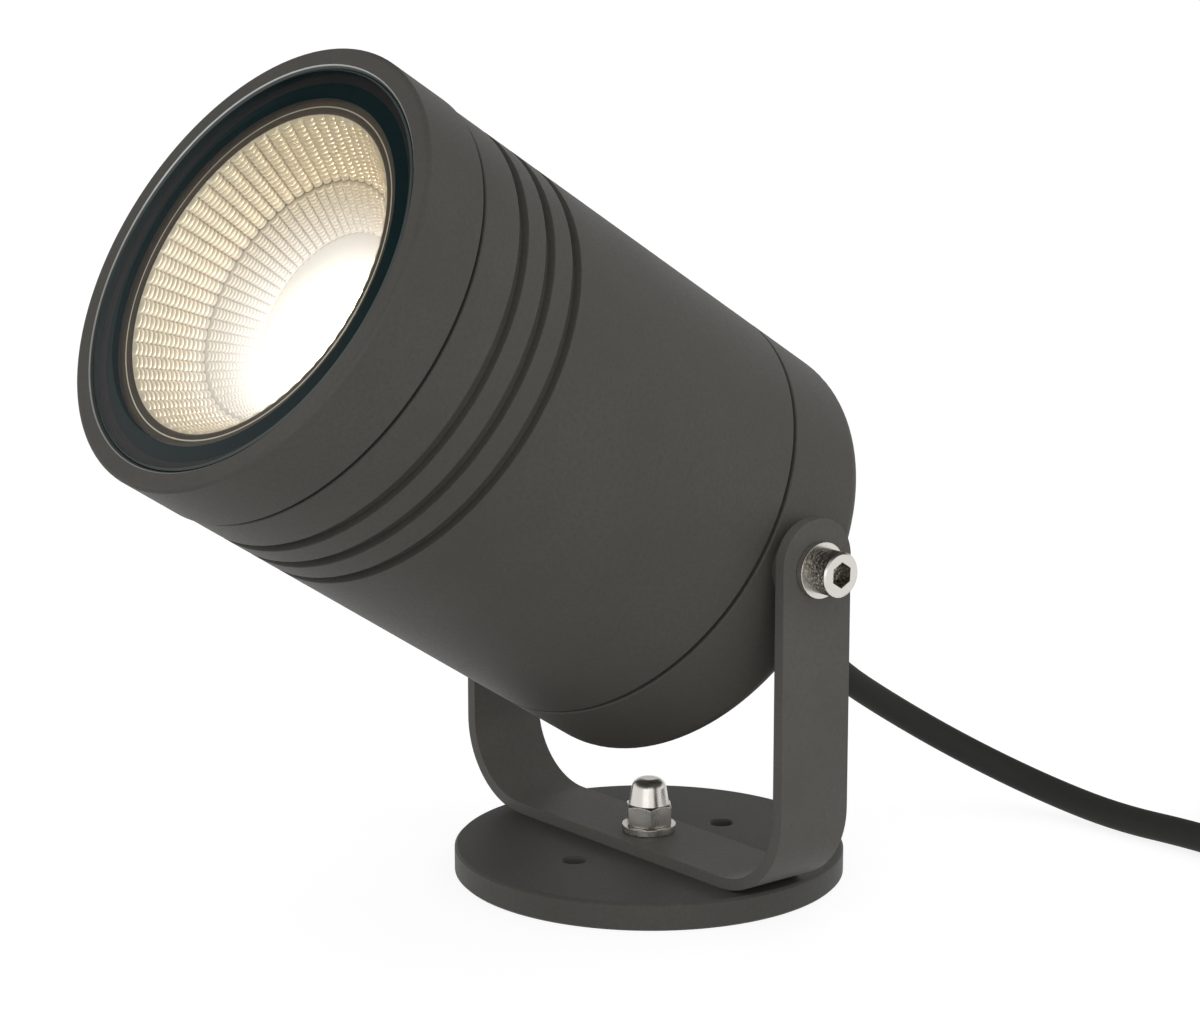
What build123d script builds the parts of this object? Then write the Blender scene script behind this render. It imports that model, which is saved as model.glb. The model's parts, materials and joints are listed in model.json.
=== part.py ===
from build123d import *
import math
import os

# Outdoor spotlight: a turned metal head on a U bracket that swivels on a round base plate.
# Sizes are in millimetres. The origin is the middle of the base plate's underside, +Z is up,
# and the tilt axis runs along X. The head is drawn along Z with the tilt axis at height zero,
# its glass at the top, and is then leaned towards -Y to the angle at which it stands.

# Base plate
base_d = 90.8
base_t = 6.5
base_edge = 0.6
fixing_hole_d = 5.2
fixing_spacing = 45.0
fixing_chamfer = 0.4

# Bracket: one flat strip bent to a U
strip_w = 19.8
strip_t = 2.7
bend_r = 20.0
arm_top = 11.2
arm_corner_r = 9.7
pivot_rise = 75.7

# Head outline along its axis
head_d = 101.8
cap_rear = 13.5
cap_front = 10.7
body_length = 102.8
ring_length = 16.3
ring_proud = 0.4
cap_edge_r = 4.0
ring_edge_r = 0.9
seam_gap = 1.0
seam_depth = 1.2
seam_chamfer = 0.2
head_tilt = 32.8
arm_gap = 2.8

# Body tube
body_wall = 4.3
groove_count = 3
groove_w = 2.9
groove_floor_w = 2.4
groove_depth = 1.9
groove_pitch = 8.2
groove_from_ring = 12.6
nose_wall = 5.0
nose_land = 12.0
ledge_w = 9.6
ledge_t = 5.0
plate_below_ring = 18.5

# Front ring and glass
ring_wall = 2.1
ring_face = 4.8
ring_lip = 0.7
seat_w = 3.0
shoulder_t = 4.4
glass_t = 4.0
glass_sunk = 0.3
glass_chamfer = 0.4
gasket_t = 0.8
gasket_w = 2.4
o_ring_d = 1.9

# Rear cap
cap_wall = 8.5
cap_floor = 4.5
spigot_length = 6.0
boss_d = 16.0
post_d = 9.0
post_inset = 1.6
post_count = 3
post_turn = 90.0
post_web = 6.0
boss_length = 15.0

# Reflector: two fluted zones and a plain throat
flute_count = 64
flute_swell = 0.45
upper_zone = 13.0
step_r = 28.6
step_w = 1.0
lower_zone = 8.5
throat_r = 20.6
collar_r = 11.6
reflector_wall = 1.5
flange_w = 4.8
flange_t = 1.2
flange_clear = 1.7
reflector_gap = 0.7

# Light engine
plate_t = 5.0
plate_clear = 0.2
plate_screw_count = 3
plate_screw_turn = 30.0
pad_t = 0.3
board_side = 24.0
board_t = 1.4
emitter_d = 19.0
emitter_t = 0.7
holder_d = 46.0
holder_t = 3.6
holder_window_d = 21.4
holder_screw_spacing = 37.0
lead_hole_d = 8.0
lead_hole_offset = 30.0
lead_d = 1.6
lead_spacing = 2.8
lead_bend_r = 3.0
lead_drop = 37.0

# Driver and terminals
driver_w = 44.0
driver_h = 30.0
driver_length = 54.0
driver_edge = 2.0
flange_plate_w = 56.0
flange_plate_t = 2.0
flange_screw_spacing = 50.0
terminal_w = 24.0
terminal_h = 14.0
terminal_length = 16.0
terminal_pitch = 7.5
clamp_depth = 5.0

# Fasteners
m6_d = 6.0
m6_head_d = 10.0
m6_head_h = 6.0
m6_socket = 5.0
m6_socket_depth = 3.0
m6_flats = 10.0
m6_hex_h = 4.0
m6_washer_d = 12.5
m6_washer_t = 1.6
pivot_screw_length = 14.0
bolt_in_nut = 7.0
dome_hex_h = 5.0
dome_d = 9.4
dome_top_d = 7.4
dome_edge_r = 2.4
dome_height = 11.0
dome_bevel = 0.5
dome_turn = 24.0
m4_d = 4.0
m4_head_d = 7.0
m4_head_h = 4.0
m4_length = 35.0
m4_socket = 3.0
m4_socket_depth = 2.0
m3_d = 3.0
m3_head_d = 5.5
m3_head_h = 1.8
m3_length = 8.0
holder_screw_length = 5.0
screw_edge = 0.4

# Cable gland
gland_thread_d = 16.0
gland_flats = 20.0
gland_hex_h = 5.5
gland_inside = 4.0
gland_spigot_d = 14.6
gland_spigot_h = 8.0
gland_washer_d = 21.0
gland_washer_t = 1.2
gland_nut_hex_h = 7.0
gland_nut_length = 15.8
gland_nose_d = 12.0
gland_cone_d = 19.2
seal_wall = 2.2
seal_length = 7.0

# Supply cable, its put-away coil and its bared end
cable_d = 6.8
tail_inside = 8.0
exit_run = 15.0
route = [
    (-0.5, 58.5, 38.0),
    (1.5, 77.0, 25.3),
    (10.5, 93.0, 14.0),
    (28.0, 103.5, 6.0),
    (50.5, 105.5, 3.5),
    (72.5, 107.6, 4.1),
    (93.5, 107.6, 4.1),
]
arc_share = 0.45
coil_outer_r = 44.5
coil_turn_gap = 0.6
coil_half_turns = 4
core_count = 3
core_d = 2.3
core_pitch_r = 1.6
core_turn = 90.0
core_length = 16.0
ferrule_d = 1.6
ferrule_length = 9.0
tie_t = 0.6
tie_w = 4.8
tie_corner_r = 2.0
tie_head = 5.0

# Clearances
running_clear = 0.05
thread_clear = 0.05
fit_clear = 0.1
face_clear = 0.1
washer_clear = 0.2
air_clear = 0.3
tie_clear = 0.3

# Worked-out sizes
head_r = head_d / 2
ring_r = head_r + ring_proud
arm_inside = head_r + arm_gap
arm_outside = arm_inside + strip_t
pivot_height = base_t + pivot_rise
strip_top = base_t + strip_t
nut_seat = strip_top + face_clear + m6_washer_t
bolt_seat = 2 * washer_clear

rear_face = -cap_rear
rear_seam = cap_front
front_seam = rear_seam + body_length
front_face = front_seam + ring_length
seam_r = head_r - seam_depth

body_bore_r = head_r - body_wall
cap_bore_r = head_r - cap_wall
spigot_r = body_bore_r - fit_clear
post_pitch_r = spigot_r - o_ring_d - post_inset - post_d / 2
spigot_end = rear_seam + spigot_length
cap_inside = rear_face + cap_floor

ring_bore_r = ring_r - ring_wall
nose_r = ring_bore_r - fit_clear
nose_bore_r = nose_r - nose_wall
glass_pocket_r = ring_r - ring_face
glass_r = glass_pocket_r - washer_clear
glass_front = front_face - glass_sunk
glass_back = glass_front - glass_t
glass_seat = glass_back - gasket_t
shoulder_r = glass_pocket_r - seat_w
mouth_r = shoulder_r - flange_clear - flange_w
ring_floor = glass_seat - shoulder_t
nose_end = ring_floor - air_clear

plate_front = front_seam - plate_below_ring
plate_back = plate_front - plate_t
plate_r = nose_bore_r - plate_clear
ledge_r = body_bore_r - ledge_w
plate_screw_r = (ledge_r + plate_r) / 2
holder_top = plate_front + holder_t
board_front = plate_front + pad_t + board_t
reflector_top = glass_back - reflector_gap
step_height = reflector_top - upper_zone
throat_height = step_height - lower_zone

driver_front = plate_back - flange_plate_t
driver_back = driver_front - driver_length
terminal_back = driver_back - terminal_length

gland_seat = rear_face - gland_washer_t
gland_hex_end = gland_seat - gland_hex_h
gland_spigot_end = gland_hex_end - gland_spigot_h
gland_mouth = gland_hex_end - face_clear - gland_nut_length
cable_r = cable_d / 2
tail_end = cap_inside + tail_inside
coil_pitch = cable_d + coil_turn_gap

UPWARD = (Align.CENTER, Align.CENTER, Align.MIN)
HEAD = Pos(0, 0, pivot_height) * Rot(90 - head_tilt, 0, 0)


def turned(*corners):
    """Solid of revolution about Z from (radius, height) corners."""
    outline = Polyline(*[(radius, 0, height) for radius, height in corners], close=True)
    return revolve(make_face(outline), Axis.Z)


def rod(radius, low, high):
    """Round bar about Z between two heights."""
    return Pos(0, 0, low) * Cylinder(radius, high - low, align=UPWARD)


def pipe(outer_r, inner_r, low, high):
    """Round tube about Z between two heights."""
    return rod(outer_r, low, high) - rod(inner_r, low, high)


def hexagon(across_flats, low, high):
    """Hexagonal bar about Z between two heights."""
    outline = RegularPolygon(across_flats / 2, 6, major_radius=False)
    return Pos(0, 0, low) * extrude(outline, high - low)


def block(width, depth, low, high):
    """Square-cornered bar about Z between two heights."""
    return Pos(0, 0, low) * Box(width, depth, high - low, align=UPWARD)


def group(parts):
    """Several separate solids as one node."""
    return Compound([solid for part in parts for solid in part.solids()])


def washer(outer_d, hole_d, low, thickness):
    """Flat washer about Z with its under face at a height."""
    return pipe(outer_d / 2, hole_d / 2, low, low + thickness)


def o_ring(outer_r, height):
    """Round rubber ring that reaches out to a radius."""
    return Pos(0, 0, height) * Torus(outer_r - o_ring_d / 2, o_ring_d / 2)


def o_ring_groove(wall_r, height):
    """Ring to cut from a wall, a little taller than the rubber ring in it."""
    half = o_ring_d / 2 + washer_clear
    return pipe(wall_r + fit_clear, wall_r - o_ring_d, height - half, height + half)


def circle_edges(part, radius, height):
    """Round edges of a turned part at one radius and height."""
    found = part.edges().filter_by(GeomType.CIRCLE)
    found = found.filter_by(lambda edge: abs(edge.radius - radius) < running_clear)
    return found.filter_by(lambda edge: abs(edge.arc_center.Z - height) < running_clear)


def cap_screw(shank_d, crown_d, crown_h, length, socket, socket_depth):
    """Socket-head screw pointing down, with its head seated at height zero."""
    crown = rod(crown_d / 2, 0, crown_h)
    crown = chamfer(circle_edges(crown, crown_d / 2, crown_h), screw_edge)
    screw = crown + rod(shank_d / 2, -length, 0)
    return screw - hexagon(socket, crown_h - socket_depth, crown_h)


def base_plate():
    plate = rod(base_d / 2, 0, base_t)
    rims = circle_edges(plate, base_d / 2, base_t) + circle_edges(plate, base_d / 2, 0)
    plate = chamfer(rims, base_edge)
    plate -= rod(m6_d / 2 + thread_clear, 0, base_t)
    plate -= hexagon(m6_flats + 2 * washer_clear, 0, bolt_seat + m6_hex_h)
    hole = rod(fixing_hole_d / 2, 0, base_t)
    hole += Pos(0, 0, base_t - fixing_chamfer) * Cone(
        fixing_hole_d / 2, fixing_hole_d / 2 + fixing_chamfer, fixing_chamfer, align=UPWARD)
    for side in (-1, 1):
        plate -= Pos(0, side * fixing_spacing / 2, 0) * hole
    return plate


def base_bolt():
    bolt = hexagon(m6_flats, bolt_seat, bolt_seat + m6_hex_h)
    return bolt + rod(m6_d / 2, bolt_seat, nut_seat + bolt_in_nut)


def dome_nut():
    low = nut_seat
    hex_top = low + dome_hex_h
    high = low + dome_height
    flat_r = m6_flats / 2
    corner_r = m6_flats / math.sqrt(3)
    bevel = turned(
        (0, low), (flat_r, low), (corner_r, low + dome_bevel), (corner_r, hex_top - dome_bevel),
        (flat_r, hex_top), (0, hex_top))
    nut = Rot(0, 0, dome_turn) * hexagon(m6_flats, low, hex_top) & bevel
    dome = turned(
        (0, low), (dome_d / 2, low), (dome_d / 2, hex_top), (dome_top_d / 2, high), (0, high))
    nut += fillet(circle_edges(dome, dome_top_d / 2, high), dome_edge_r)
    return nut - rod(m6_d / 2 + thread_clear, low, low + bolt_in_nut + fit_clear)


def bracket():
    """The strip's edge line, thickened and cut to the rounded arm ends."""
    high = pivot_height + arm_top
    outer = Pos(0, 0, base_t) * Box(2 * arm_outside, strip_w, high - base_t, align=UPWARD)
    inner = Pos(0, 0, strip_top) * Box(2 * arm_inside, strip_w, high - strip_top, align=UPWARD)
    outer = fillet(outer.edges().filter_by(Axis.Y).group_by(Axis.Z)[0], bend_r)
    inner = fillet(inner.edges().filter_by(Axis.Y).group_by(Axis.Z)[0], bend_r - strip_t)
    strip = outer - inner
    tips = strip.edges().filter_by(Axis.X).group_by(Axis.Z)[-1]
    strip = fillet(tips, arm_corner_r)
    hole_r = m6_d / 2 + running_clear
    strip -= rod(hole_r, base_t, strip_top)
    axle = Rot(0, 90, 0) * rod(hole_r, -arm_outside, arm_outside)
    return strip - Pos(0, 0, pivot_height) * axle


def body_tube():
    ledge_low = plate_back - ledge_t
    tube = turned(
        (body_bore_r, rear_seam), (seam_r, rear_seam), (seam_r, rear_seam + seam_gap),
        (head_r, rear_seam + seam_gap), (head_r, front_seam - seam_gap),
        (seam_r, front_seam - seam_gap), (seam_r, front_seam),
        (nose_r, front_seam), (nose_r, nose_end), (nose_bore_r, nose_end),
        (nose_bore_r, nose_end - nose_land),
        (body_bore_r, nose_end - nose_land - (body_bore_r - nose_bore_r)),
        (body_bore_r, plate_back), (ledge_r, plate_back), (ledge_r, ledge_low),
        (body_bore_r, ledge_low - ledge_w / 2))
    tube = chamfer(circle_edges(tube, head_r, rear_seam + seam_gap), seam_chamfer)
    tube = chamfer(circle_edges(tube, head_r, front_seam - seam_gap), seam_chamfer)
    for index in range(groove_count):
        middle = front_seam - groove_from_ring - index * groove_pitch
        floor_r = head_r - groove_depth
        tube -= turned(
            (head_r + fit_clear, middle - groove_w / 2), (head_r + fit_clear, middle + groove_w / 2),
            (floor_r, middle + groove_floor_w / 2), (floor_r, middle - groove_floor_w / 2))
    tube -= o_ring_groove(nose_r, (front_seam + nose_end) / 2)
    low = spigot_end + air_clear
    boss = rod(post_d / 2, low, low + boss_length)
    web_length = body_bore_r + body_wall / 2 - post_pitch_r
    boss += Pos(web_length / 2, 0, 0) * block(web_length, post_web, low, low + boss_length)
    boss -= rod(m4_d / 2 + thread_clear, low, low + boss_length)
    for place in PolarLocations(post_pitch_r, post_count, post_turn):
        tube += place * boss
    hole = rod(m3_d / 2 + thread_clear, plate_back - m3_length, plate_back)
    for place in PolarLocations(plate_screw_r, plate_screw_count, plate_screw_turn):
        tube -= place * hole
    return tube


def front_ring():
    ring = turned(
        (ring_bore_r, front_seam), (ring_r, front_seam), (ring_r, front_face),
        (glass_pocket_r, front_face), (glass_pocket_r, glass_seat), (shoulder_r, glass_seat),
        (shoulder_r, ring_floor), (ring_bore_r, ring_floor))
    ring = chamfer(circle_edges(ring, ring_r, front_seam), seam_chamfer)
    ring = fillet(circle_edges(ring, ring_r, front_face), ring_edge_r)
    return chamfer(circle_edges(ring, glass_pocket_r, front_face), ring_lip)


def glass():
    disc = rod(glass_r, glass_back, glass_front)
    rims = circle_edges(disc, glass_r, glass_front) + circle_edges(disc, glass_r, glass_back)
    return chamfer(rims, glass_chamfer)


def glass_gasket():
    outer_r = glass_pocket_r - air_clear
    return pipe(outer_r, outer_r - gasket_w, glass_seat, glass_back)


def rear_cap():
    cap = turned(
        (0, rear_face), (head_r, rear_face), (head_r, rear_seam), (spigot_r, rear_seam),
        (spigot_r, spigot_end), (cap_bore_r, spigot_end), (cap_bore_r, cap_inside),
        (0, cap_inside))
    cap = fillet(circle_edges(cap, head_r, rear_face), cap_edge_r)
    cap = chamfer(circle_edges(cap, head_r, rear_seam), seam_chamfer)
    cap -= o_ring_groove(spigot_r, (rear_seam + spigot_end) / 2)
    boss_end = arm_inside - face_clear
    boss_start = cap_bore_r + cap_wall / 2
    boss = rod(boss_d / 2, boss_start, boss_end)
    thread_end = arm_outside + m6_washer_t - pivot_screw_length - washer_clear
    thread = rod(m6_d / 2 + thread_clear, thread_end, boss_end)
    for turn in (90, -90):
        cap += Rot(0, turn, 0) * boss
        cap -= Rot(0, turn, 0) * thread
    post = rod(post_d / 2, cap_inside, spigot_end)
    counterbore = m4_head_h + washer_clear
    drill = rod(m4_d / 2 + thread_clear, rear_face, spigot_end)
    drill += rod(m4_head_d / 2 + washer_clear, rear_face, rear_face + counterbore)
    for place in PolarLocations(post_pitch_r, post_count, post_turn):
        cap += place * post
        cap -= place * drill
    return cap - rod(gland_thread_d / 2 + thread_clear, rear_face, cap_inside)


def fluted_section(radius, height):
    """Closed ring of arcs that swell inwards, one for each flute."""
    step = 2 * math.pi / flute_count
    arcs = []
    for index in range(flute_count):
        ends = [(radius * math.cos(angle), radius * math.sin(angle))
                for angle in (index * step, (index + 1) * step)]
        crest_r = radius * math.cos(step / 2) - flute_swell
        crest_angle = (index + 0.5) * step
        crest = (crest_r * math.cos(crest_angle), crest_r * math.sin(crest_angle))
        arcs.append(ThreePointArc(ends[0], crest, ends[1]))
    return Pos(0, 0, height) * make_face(Wire(arcs))


def fluted_cone(low_r, low, high_r, high):
    """The hollow of one fluted zone."""
    sections = [fluted_section(low_r, low), fluted_section(high_r, high)]
    return loft(sections, ruled=True)


def reflector():
    inner_r = step_r - step_w
    wall = reflector_wall
    bowl = turned(
        (0, holder_top), (collar_r + 2 * wall, holder_top), (throat_r + wall, throat_height - wall),
        (step_r + wall, step_height - wall), (mouth_r + wall, reflector_top - flange_t),
        (mouth_r + flange_w, reflector_top - flange_t), (mouth_r + flange_w, reflector_top),
        (0, reflector_top))
    bowl -= fluted_cone(step_r, step_height, mouth_r, reflector_top)
    bowl -= fluted_cone(throat_r, throat_height, inner_r, step_height)
    throat_clear = throat_r - 2 * flute_swell
    throat = turned(
        (0, holder_top), (collar_r, holder_top), (throat_clear, throat_height), (0, throat_height))
    return bowl - throat


def heat_plate():
    plate = rod(plate_r, plate_back, plate_front)
    for place in PolarLocations(plate_screw_r, plate_screw_count, plate_screw_turn):
        plate -= place * rod(m3_d / 2 + thread_clear, plate_back, plate_front)
    plate -= Pos(0, lead_hole_offset, 0) * rod(lead_hole_d / 2, plate_back, plate_front)
    for side in (-1, 1):
        tapped = rod(m3_d / 2 + thread_clear, plate_front - holder_screw_length, plate_front)
        plate -= Pos(side * holder_screw_spacing / 2, 0, 0) * tapped
        tapped = rod(m3_d / 2 + thread_clear, plate_back, plate_front - washer_clear)
        plate -= Pos(side * flange_screw_spacing / 2, 0, 0) * tapped
    return plate


def plate_screw(length):
    """Low-head screw pointing down, with its head seated at height zero."""
    return rod(m3_head_d / 2, 0, m3_head_h) + rod(m3_d / 2, -length, 0)


def heat_plate_screws():
    screw = Pos(0, 0, plate_front) * plate_screw(m3_length + plate_t - washer_clear)
    places = PolarLocations(plate_screw_r, plate_screw_count, plate_screw_turn)
    return group([place * screw for place in places])


def thermal_pad():
    return block(board_side, board_side, plate_front, plate_front + pad_t)


def led_board():
    return block(board_side, board_side, plate_front + pad_t, board_front)


def led_emitter():
    return rod(emitter_d / 2, board_front, board_front + emitter_t)


def led_holder():
    holder = rod(holder_d / 2, plate_front, holder_top)
    pocket = board_side + 2 * fit_clear
    holder -= block(pocket, pocket, plate_front, board_front)
    holder -= rod(holder_window_d / 2, board_front, holder_top)
    sink = m3_head_h + washer_clear
    hole = rod(m3_d / 2 + thread_clear, plate_front, holder_top)
    hole += rod(m3_head_d / 2 + fit_clear, holder_top - sink, holder_top)
    for side in (-1, 1):
        holder -= Pos(side * holder_screw_spacing / 2, 0, 0) * hole
    return holder


def led_holder_screws():
    seat = holder_top - m3_head_h - washer_clear
    screw = plate_screw(seat - plate_front + holder_screw_length - washer_clear)
    spots = [Pos(side * holder_screw_spacing / 2, 0, seat) for side in (-1, 1)]
    return group([spot * screw for spot in spots])


def tube_along(path, radius):
    """Round tube swept along a path."""
    return sweep(Plane(path ^ 0) * Circle(radius), path=path)


def led_leads():
    height = plate_front + holder_t / 2
    leads = []
    for side in (-1, 1):
        x = side * lead_spacing / 2
        corners = [
            (x, holder_d / 2 + fit_clear, height), (x, lead_hole_offset, height),
            (x, lead_hole_offset, height - lead_drop), (x, driver_h / 2 + fit_clear, height - lead_drop)]
        leads.append(tube_along(FilletPolyline(*corners, radius=lead_bend_r), lead_d / 2))
    return group(leads)


def driver():
    case = block(driver_w, driver_h, driver_back, driver_front)
    case = fillet(case.edges().filter_by(Axis.Z), driver_edge)
    ears = block(flange_plate_w, driver_h, driver_front, plate_back)
    ears = fillet(ears.edges().filter_by(Axis.Z), driver_edge)
    for side in (-1, 1):
        hole = rod(m3_d / 2 + thread_clear, driver_front, plate_back)
        ears -= Pos(side * flange_screw_spacing / 2, 0, 0) * hole
    return case + ears


def driver_screws():
    screw = plate_screw(flange_plate_t + plate_t - 2 * washer_clear)
    spots = [Pos(side * flange_screw_spacing / 2, 0, driver_front) for side in (-1, 1)]
    return group([spot * Rot(180, 0, 0) * screw for spot in spots])


def terminal_block():
    housing = block(terminal_w, terminal_h, terminal_back, driver_back)
    for index in range(core_count):
        x = (index - (core_count - 1) / 2) * terminal_pitch
        funnel = rod(core_d / 2 + fit_clear, terminal_back, terminal_back + terminal_length / 2)
        screw_way = Rot(-90, 0, 0) * rod(core_d / 2, 0, terminal_h / 2)
        housing -= Pos(x, 0, 0) * funnel
        housing -= Pos(x, 0, terminal_back + clamp_depth) * screw_way
    return housing


def core_places():
    """Where the cores lie across the cable."""
    return [place.position for place in PolarLocations(core_pitch_r, core_count, core_turn)]


def mains_leads():
    leads = []
    order = sorted(core_places(), key=lambda spot: spot.X)
    span = terminal_back - tail_end
    for index, spot in enumerate(order):
        x = (index - (core_count - 1) / 2) * terminal_pitch
        corners = [
            (spot.X, spot.Y, tail_end), (spot.X, spot.Y, tail_end + span / 4),
            (x, 0, terminal_back - span / 4), (x, 0, terminal_back + clamp_depth)]
        leads.append(tube_along(FilletPolyline(*corners, radius=lead_bend_r), core_d / 2))
    return group(leads)


def rear_cap_screws():
    screw = cap_screw(m4_d, m4_head_d, m4_head_h, m4_length, m4_socket, m4_socket_depth)
    seat = rear_face + m4_head_h + washer_clear
    screw = Pos(0, 0, seat) * Rot(180, 0, 0) * screw
    return group([place * screw for place in PolarLocations(post_pitch_r, post_count, post_turn)])


def pivot_screws():
    screw = cap_screw(m6_d, m6_head_d, m6_head_h, pivot_screw_length, m6_socket, m6_socket_depth)
    screw = Pos(0, 0, arm_outside + face_clear + m6_washer_t) * screw
    return group([Rot(0, turn, 0) * screw for turn in (90, -90)])


def pivot_washers():
    ring = washer(m6_washer_d, m6_d + 2 * washer_clear, arm_outside + face_clear, m6_washer_t)
    return group([Rot(0, turn, 0) * ring for turn in (90, -90)])


def gland_body():
    body = rod(gland_thread_d / 2, gland_seat, cap_inside + gland_inside)
    body += hexagon(gland_flats, gland_hex_end, gland_seat)
    body += rod(gland_spigot_d / 2, gland_spigot_end, gland_hex_end)
    body -= rod(cable_r + fit_clear, gland_spigot_end, cap_inside + gland_inside)
    pocket_r = cable_r + seal_wall + 2 * fit_clear
    return body - rod(pocket_r, gland_spigot_end, gland_spigot_end + seal_length)


def gland_nut():
    low = gland_mouth
    high = gland_hex_end - face_clear
    hex_low = high - gland_nut_hex_h
    nut = hexagon(gland_flats, hex_low, high)
    nut += turned(
        (0, low), (gland_nose_d / 2, low), (gland_cone_d / 2, hex_low), (0, hex_low))
    nut -= rod(gland_spigot_d / 2 + thread_clear, gland_spigot_end - face_clear, high)
    return nut - rod(cable_r + fit_clear, low, high)


def gland_seal():
    low = gland_spigot_end + face_clear
    high = low + seal_length - 2 * face_clear
    return pipe(cable_r + seal_wall + fit_clear, cable_r + fit_clear / 2, low, high)


def compare_tube(name, tube, path):
    """Print a cable's volume against its section times its length."""
    share = tube.volume / (math.pi * cable_r ** 2 * path.length)
    print(name, "volume against section times length", round(share, 5), "length", round(path.length, 1))


def cable_run():
    """The free stretch, from the gland's mouth to the coil, as straight runs and tangent arcs."""
    out = HEAD.position - (HEAD * Pos(0, 0, 1)).position
    mouth = (HEAD * Pos(0, 0, gland_mouth)).position
    points = [mouth, mouth + out * exit_run] + [Vector(*point) for point in route]
    radii = []
    for before, corner, after in zip(points, points[1:], points[2:]):
        turn = math.radians((corner - before).get_angle(after - corner))
        shorter = min((corner - before).length, (after - corner).length)
        radii.append(arc_share * shorter / math.tan(turn / 2))
    path = FilletPolyline(*points, radius=radii)
    tube = tube_along(path, cable_r)
    print("cable run radii", [round(radius, 1) for radius in radii])
    compare_tube("cable run", tube, path)
    return tube


def coil_corners():
    """Ends of the coil's half turns: in on the lower layer, up one, and out again on the upper."""
    x, y, low = route[-1]
    x += cable_d
    inward = [coil_outer_r - index * coil_pitch / 2 for index in range(coil_half_turns)]
    innermost = coil_outer_r - coil_half_turns * coil_pitch / 2
    radii = inward + [innermost] + inward[::-1]
    corners = [Vector(x, y, low)]
    for index, radius in enumerate(radii):
        side = 1 if index % 2 == 0 else -1
        height = low if index < coil_half_turns else low + coil_pitch
        corners.append(Vector(x, corners[-1].Y + side * 2 * radius, height))
    return corners


def coil_path():
    corners = coil_corners()
    start = Vector(*route[-1])
    edges = [Line(start, corners[0])]
    for index, (first, last) in enumerate(zip(corners, corners[1:])):
        side = 1 if index % 2 == 0 else -1
        middle = (first + last) / 2 + Vector(side * (last - first).length / 2, 0, 0)
        edges.append(ThreePointArc(first, middle, last))
    edges.append(Line(corners[-1], corners[-1] - Vector(cable_d, 0, 0)))
    return Wire(edges)


def least_self_gap(path, diameter):
    """Smallest gap between stretches of a tube that are more than four diameters apart along it."""
    count = int(path.length / (diameter / 2))
    points = [path @ (index / count) for index in range(count + 1)]
    apart = math.ceil(4 * diameter / (path.length / count))
    nearest = min((points[i] - points[j]).length
                  for i in range(len(points)) for j in range(i + apart, len(points)))
    return nearest - diameter


def cable_coil():
    path = coil_path()
    coil = tube_along(path, cable_r)
    print("coil least gap to itself", round(least_self_gap(path, cable_d), 3))
    compare_tube("coil", coil, path)
    return coil


def cable_tie():
    """A strap round the coil's turns on its far side, with its lock on top."""
    corners = coil_corners()
    middle_y = (corners[0].Y + corners[1].Y) / 2
    low = corners[0].Z - cable_r - fit_clear
    high = corners[-1].Z + cable_r + tie_clear
    inner = coil_outer_r - coil_half_turns * coil_pitch / 2 - cable_r - tie_clear
    outer = coil_outer_r + cable_r + tie_clear
    middle_x = (inner + outer) / 2 + corners[0].X
    spot = Plane((middle_x, middle_y, (low + high) / 2), x_dir=(1, 0, 0), z_dir=(0, 1, 0))
    inside = RectangleRounded(outer - inner, high - low, tie_corner_r)
    outside = RectangleRounded(outer - inner + 2 * tie_t, high - low + 2 * tie_t, tie_corner_r + tie_t)
    strap = extrude(spot * (outside - inside), tie_w / 2, both=True)
    lock = Pos(middle_x, middle_y, high) * Box(tie_head, tie_head, tie_head, align=UPWARD)
    return strap + lock


def bared_end():
    """Place of the cable's cut end, pointing along the cable."""
    end = coil_corners()[-1] - Vector(cable_d, 0, 0)
    return Pos(end.X, end.Y, end.Z) * Rot(0, -90, 0)


def cable_cores():
    core = rod(core_d / 2, 0, core_length)
    return bared_end() * group([Pos(spot.X, spot.Y, 0) * core for spot in core_places()])


def core_ferrules():
    pin = rod(ferrule_d / 2, core_length, core_length + ferrule_length)
    return bared_end() * group([Pos(spot.X, spot.Y, 0) * pin for spot in core_places()])


standing = {
    "base_plate": base_plate(),
    "base_bolt": base_bolt(),
    "base_washer": washer(m6_washer_d, m6_d + 2 * washer_clear, strip_top + face_clear, m6_washer_t),
    "dome_nut": dome_nut(),
    "bracket": bracket(),
    "cable_run": cable_run(),
    "cable_coil": cable_coil(),
    "cable_tie": cable_tie(),
    "cable_cores": cable_cores(),
    "core_ferrules": core_ferrules(),
}

leaning = {
    "body_tube": body_tube(),
    "front_ring": front_ring(),
    "glass": glass(),
    "glass_gasket": glass_gasket(),
    "front_o_ring": o_ring(nose_r + fit_clear / 2, (front_seam + nose_end) / 2),
    "rear_o_ring": o_ring(spigot_r + fit_clear / 2, (rear_seam + spigot_end) / 2),
    "reflector": reflector(),
    "heat_plate": heat_plate(),
    "heat_plate_screws": heat_plate_screws(),
    "thermal_pad": thermal_pad(),
    "led_board": led_board(),
    "led_emitter": led_emitter(),
    "led_holder": led_holder(),
    "led_holder_screws": led_holder_screws(),
    "led_leads": led_leads(),
    "driver": driver(),
    "driver_screws": driver_screws(),
    "terminal_block": terminal_block(),
    "mains_leads": mains_leads(),
    "rear_cap": rear_cap(),
    "rear_cap_screws": rear_cap_screws(),
    "pivot_screws": pivot_screws(),
    "pivot_washers": pivot_washers(),
    "gland_body": gland_body(),
    "gland_washer": washer(gland_washer_d, gland_thread_d + 2 * fit_clear, gland_seat, gland_washer_t),
    "gland_seal": gland_seal(),
    "gland_nut": gland_nut(),
    "cable_tail": rod(cable_r, gland_mouth, tail_end),
}

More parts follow.
